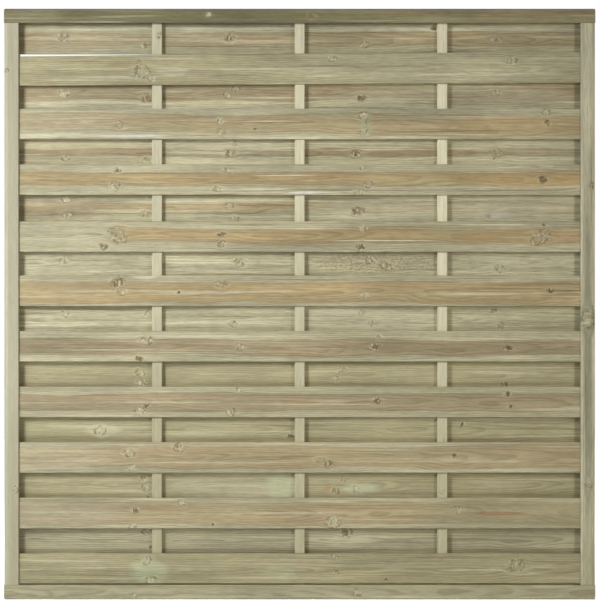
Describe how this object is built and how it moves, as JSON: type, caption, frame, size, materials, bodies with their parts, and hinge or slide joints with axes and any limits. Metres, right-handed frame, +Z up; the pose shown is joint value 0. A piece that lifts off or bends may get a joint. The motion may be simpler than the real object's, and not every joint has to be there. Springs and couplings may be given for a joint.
{
  "type": "wooden fence panel",
  "caption": "Square framed garden fence panel: staggered horizontal slats front and back on upright battens, set in a grooved softwood frame.",
  "frame": {"origin": "middle of the underside, where the bottom rail rests", "axes": "+Z up, +X along the panel's width to the right seen from the front, front face towards -Y"},
  "size_m": [1.8, 0.045, 1.8],
  "materials": {
    "frame_timber": "planed, pressure-treated, pale green-grey",
    "dark_timber": "planed, pressure-treated, olive brown",
    "batten_timber": "planed, pressure-treated, pale sapwood",
    "slat_timber": "sawn thin, pressure-treated, green-grey with tan heartwood",
    "fixings": "dull galvanised"
  },
  "bodies": {
    "root": {"top_rail": "dark_timber", "bottom_rail": "frame_timber", "left_stile": "frame_timber", "right_stile": "frame_timber", "batten_1": "batten_timber", "batten_2": "batten_timber", "batten_3": "batten_timber", "front_slat_01": "slat_timber", "front_slat_02": "slat_timber", "front_slat_03": "slat_timber", "front_slat_04": "slat_timber", "front_slat_05": "slat_timber", "front_slat_06": "slat_timber", "front_slat_07": "slat_timber", "front_slat_08": "slat_timber", "front_slat_09": "slat_timber", "front_slat_10": "slat_timber", "back_slat_01": "slat_timber", "back_slat_02": "slat_timber", "back_slat_03": "slat_timber", "back_slat_04": "slat_timber", "back_slat_05": "slat_timber", "back_slat_06": "slat_timber", "back_slat_07": "slat_timber", "back_slat_08": "slat_timber", "back_slat_09": "slat_timber", "back_slat_10": "slat_timber", "front_brads": "fixings", "back_brads": "fixings", "corner_pins": "fixings"}
  },
  "joints": []
}
